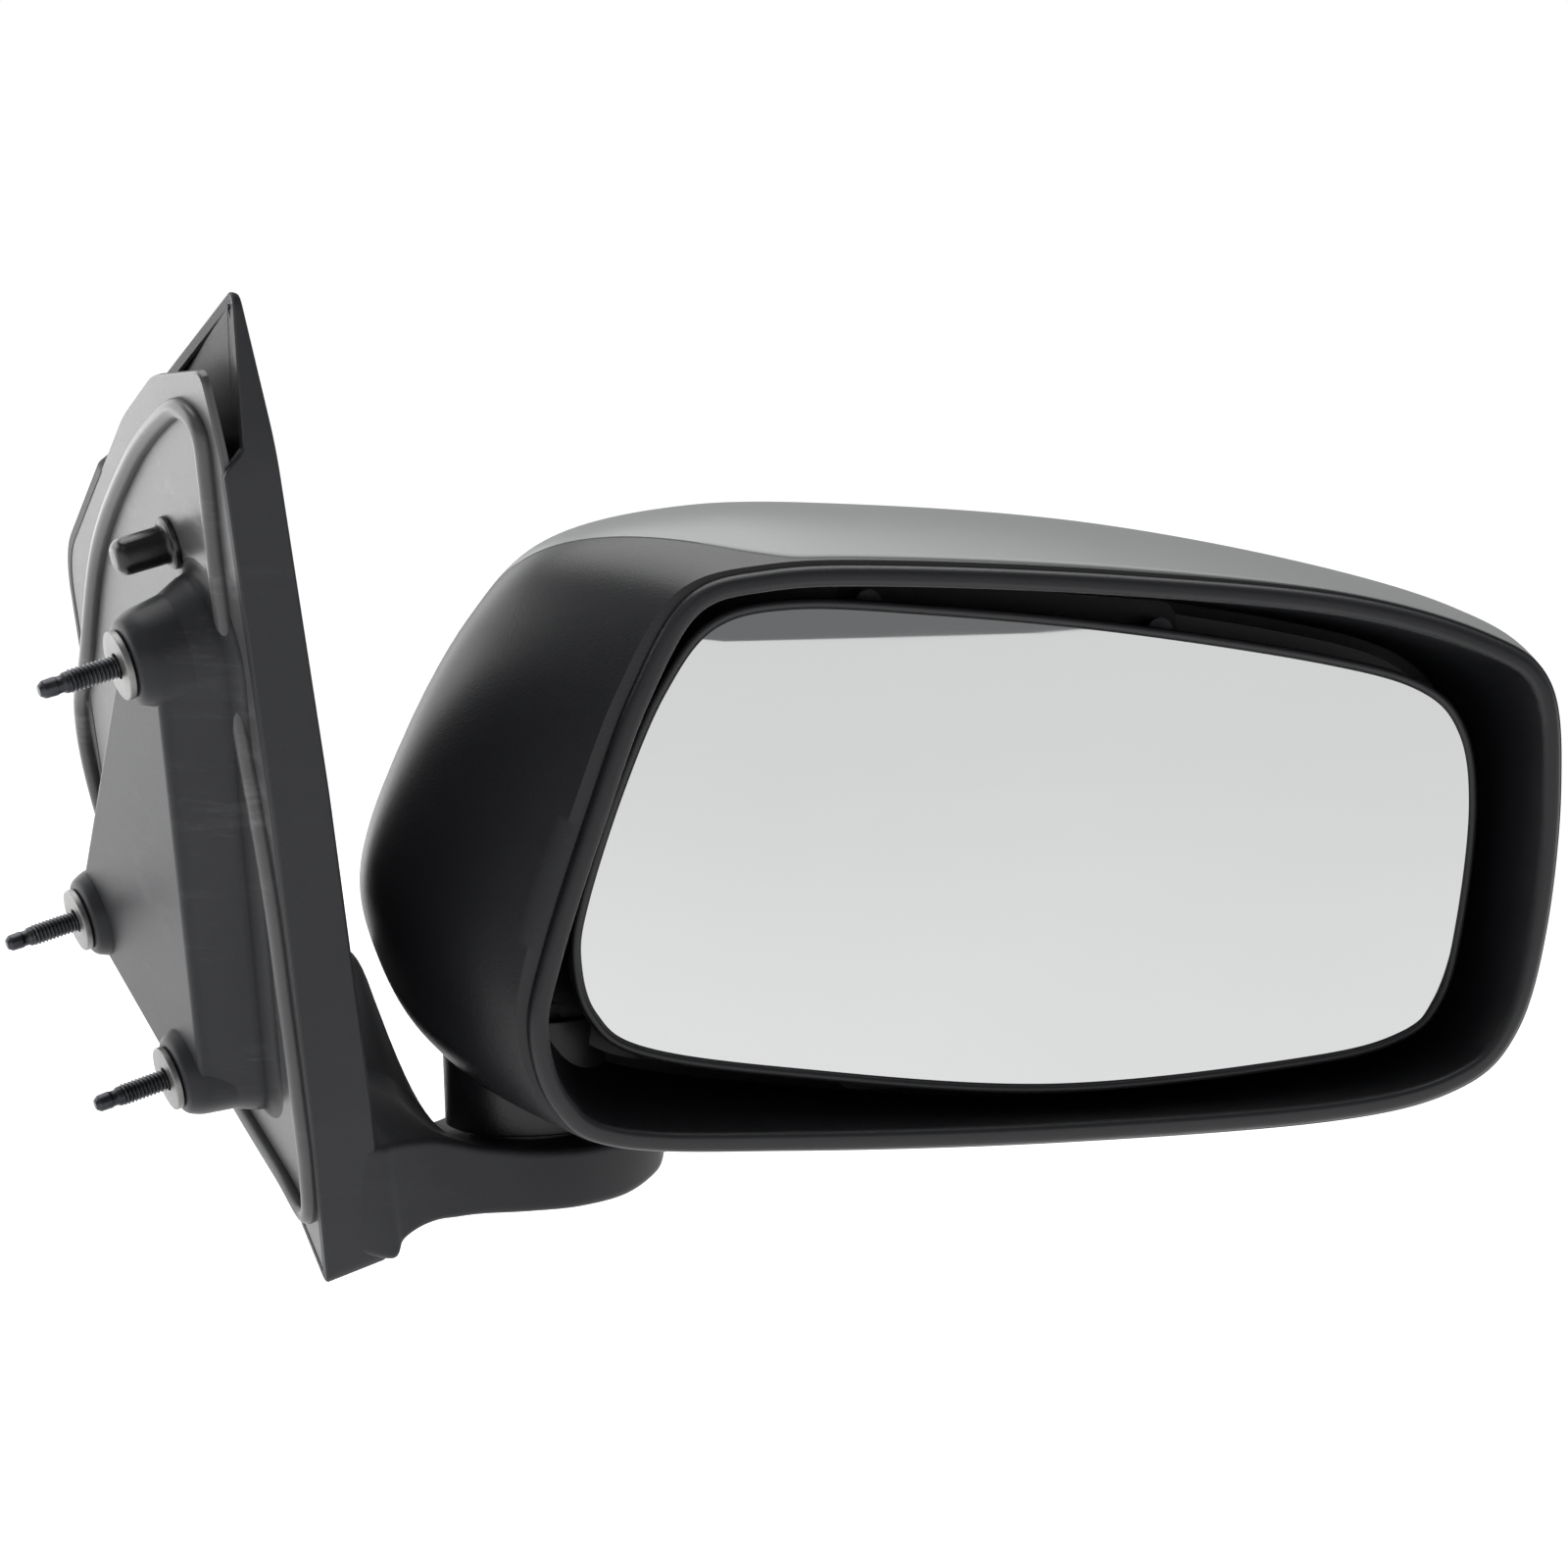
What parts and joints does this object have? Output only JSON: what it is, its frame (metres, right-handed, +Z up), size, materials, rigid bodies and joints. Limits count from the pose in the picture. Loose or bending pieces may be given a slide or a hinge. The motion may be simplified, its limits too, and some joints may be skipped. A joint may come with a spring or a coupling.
{
  "type": "car door mirror",
  "caption": "Right-hand door mirror with a manually adjusted convex glass in a folding head, a sail-shaped base with an arm, and threaded studs that seat on the door.",
  "frame": {"origin": "on the flat face that seats on the door, between the three studs", "axes": "+X away from the door, +Y towards the front of the vehicle, +Z up"},
  "size_m": [0.4114, 0.1939, 0.2437],
  "materials": {
    "black_textured_plastic": "fine moulded grain",
    "black_housing_plastic": "fine moulded grain, satin",
    "grey_primer": "smooth grey primer, satin",
    "black_rubber": "smooth",
    "nylon": "glass-filled, matt",
    "zinc_plated_steel": "zinc plated",
    "black_steel": "black phosphate",
    "spring_steel": "oiled",
    "mirror_silver": "polished",
    "adhesive_foam": "matt foam",
    "white_acetal": "satin"
  },
  "bodies": {
    "base": {"base_bracket": "nylon", "base_cover": "black_textured_plastic", "base_gasket": "black_rubber", "stud_upper": "black_steel", "stud_front": "black_steel", "stud_lower": "black_steel", "washer_upper": "zinc_plated_steel", "washer_front": "zinc_plated_steel", "washer_lower": "zinc_plated_steel", "locating_peg": "nylon", "cover_screw_upper": "black_steel", "cover_screw_front": "black_steel", "pivot_shaft": "zinc_plated_steel", "detent_ring": "zinc_plated_steel", "fold_spring": "spring_steel", "spring_retainer": "zinc_plated_steel", "shaft_clip": "spring_steel"},
    "head": {"head_frame": "nylon", "rear_housing": "black_housing_plastic", "front_cap": "grey_primer", "housing_screw_1": "black_steel", "housing_screw_2": "black_steel", "housing_screw_3": "black_steel", "housing_screw_4": "black_steel", "thrust_washer": "white_acetal", "washer_tilt_inner": "spring_steel", "washer_tilt_outer": "spring_steel"},
    "gimbal": {"gimbal_ring": "white_acetal", "washer_pan_lower": "spring_steel", "washer_pan_upper": "spring_steel"},
    "glass": {"glass_holder": "black_housing_plastic", "glass_pad": "adhesive_foam", "mirror_glass": "mirror_silver"}
  },
  "joints": [
    {"name": "fold", "type": "hinge", "parent": "base", "child": "head", "pos_m": [0.105, 0.005, -0.05], "axis": [0, 0, 1], "range_deg": [-55, 45]},
    {"name": "glass_tilt", "type": "hinge", "parent": "head", "child": "gimbal", "pos_m": [0.22777, -0.03239, -0.00342], "axis": [0.9848, -0.1736, 0], "range_deg": [-5, 5]},
    {"name": "glass_pan", "type": "hinge", "parent": "gimbal", "child": "glass", "pos_m": [0.22777, -0.03239, -0.00342], "axis": [0, 0, 1], "range_deg": [-5, 5]}
  ]
}
